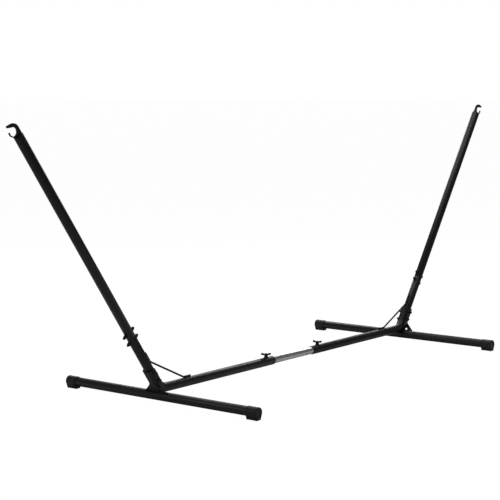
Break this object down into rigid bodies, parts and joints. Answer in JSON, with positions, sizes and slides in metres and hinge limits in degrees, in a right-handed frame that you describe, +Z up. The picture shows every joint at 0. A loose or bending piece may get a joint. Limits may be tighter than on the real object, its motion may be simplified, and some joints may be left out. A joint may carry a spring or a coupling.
{
  "type": "hammock stand",
  "caption": "Steel hammock stand: two leaning arms with open end hooks on capped foot bars, joined by a telescoping ground beam with wing screw clamps.",
  "frame": {"origin": "on the floor, in the middle of the stand", "axes": "+X along the ground beam, +Y along the foot bars, +Z up"},
  "size_m": [3.2678, 1.024, 1.1354],
  "materials": {
    "black_powder_coat": "satin black powder coat on steel tube and plate",
    "bright_zinc_plate": "bright zinc plate on drawn steel tube",
    "black_moulded_plastic": "fine-textured black moulded plastic",
    "blacked_fastener": "black coated steel fastener"
  },
  "bodies": {
    "left_frame": {"left_foot_bar": "black_powder_coat", "left_foot_cap_front": "black_moulded_plastic", "left_foot_cap_back": "black_moulded_plastic", "left_bracket": "black_powder_coat", "left_corner_tube": "black_powder_coat", "left_brace_rod": "black_powder_coat", "left_base_lower_bolt": "blacked_fastener", "left_base_upper_bolt": "blacked_fastener", "left_base_lower_nut": "blacked_fastener", "left_base_upper_nut": "blacked_fastener", "left_joint_spigot": "black_powder_coat", "left_arm_tube": "black_powder_coat", "left_arm_lower_bolt": "blacked_fastener", "left_arm_upper_bolt": "blacked_fastener", "left_arm_lower_nut": "blacked_fastener", "left_arm_upper_nut": "blacked_fastener", "left_arm_lower_washer_inner": "black_moulded_plastic", "left_arm_lower_washer_outer": "black_moulded_plastic", "left_arm_upper_washer_inner": "black_moulded_plastic", "left_arm_upper_washer_outer": "black_moulded_plastic", "left_hook": "black_powder_coat", "left_hook_rivet": "blacked_fastener", "left_mouth_bush": "black_moulded_plastic", "left_clamp_nut": "black_powder_coat"},
    "inner_beam": {"inner_beam_tube": "bright_zinc_plate"},
    "right_frame": {"right_foot_bar": "black_powder_coat", "right_foot_cap_front": "black_moulded_plastic", "right_foot_cap_back": "black_moulded_plastic", "right_bracket": "black_powder_coat", "right_corner_tube": "black_powder_coat", "right_brace_rod": "black_powder_coat", "right_base_lower_bolt": "blacked_fastener", "right_base_upper_bolt": "blacked_fastener", "right_base_lower_nut": "blacked_fastener", "right_base_upper_nut": "blacked_fastener", "right_joint_spigot": "black_powder_coat", "right_arm_tube": "black_powder_coat", "right_arm_lower_bolt": "blacked_fastener", "right_arm_upper_bolt": "blacked_fastener", "right_arm_lower_nut": "blacked_fastener", "right_arm_upper_nut": "blacked_fastener", "right_arm_lower_washer_inner": "black_moulded_plastic", "right_arm_lower_washer_outer": "black_moulded_plastic", "right_arm_upper_washer_inner": "black_moulded_plastic", "right_arm_upper_washer_outer": "black_moulded_plastic", "right_hook": "black_powder_coat", "right_hook_rivet": "blacked_fastener", "right_mouth_bush": "black_moulded_plastic", "right_clamp_nut": "black_powder_coat"},
    "left_screw": {"left_clamp_screw": "blacked_fastener"},
    "left_knob": {"left_wing_knob": "black_moulded_plastic"},
    "right_screw": {"right_clamp_screw": "blacked_fastener"},
    "right_knob": {"right_wing_knob": "black_moulded_plastic"}
  },
  "joints": [
    {"name": "beam_slide_left", "type": "slide", "parent": "left_frame", "child": "inner_beam", "axis": [1, 0, 0], "range_m": [-0.14, 0.05]},
    {"name": "beam_slide_right", "type": "slide", "parent": "inner_beam", "child": "right_frame", "axis": [1, 0, 0], "range_m": [-0.14, 0.05]},
    {"name": "left_screw_rise", "type": "slide", "parent": "left_frame", "child": "left_screw", "axis": [0, 0, 1], "range_m": [0, 0.0038]},
    {"name": "left_knob_turn", "type": "hinge", "parent": "left_screw", "child": "left_knob", "pos_m": [-0.187, 0, 0.09], "axis": [0, 0, 1], "range_deg": [0, 1080]},
    {"name": "right_screw_rise", "type": "slide", "parent": "right_frame", "child": "right_screw", "axis": [0, 0, 1], "range_m": [0, 0.0038]},
    {"name": "right_knob_turn", "type": "hinge", "parent": "right_screw", "child": "right_knob", "pos_m": [0.187, 0, 0.09], "axis": [0, 0, 1], "range_deg": [0, 1080]}
  ],
  "couplings": [
    {"joint": "left_screw_rise", "follows": "left_knob_turn", "m_per_rad": 0.00019894},
    {"joint": "right_screw_rise", "follows": "right_knob_turn", "m_per_rad": 0.00019894}
  ]
}
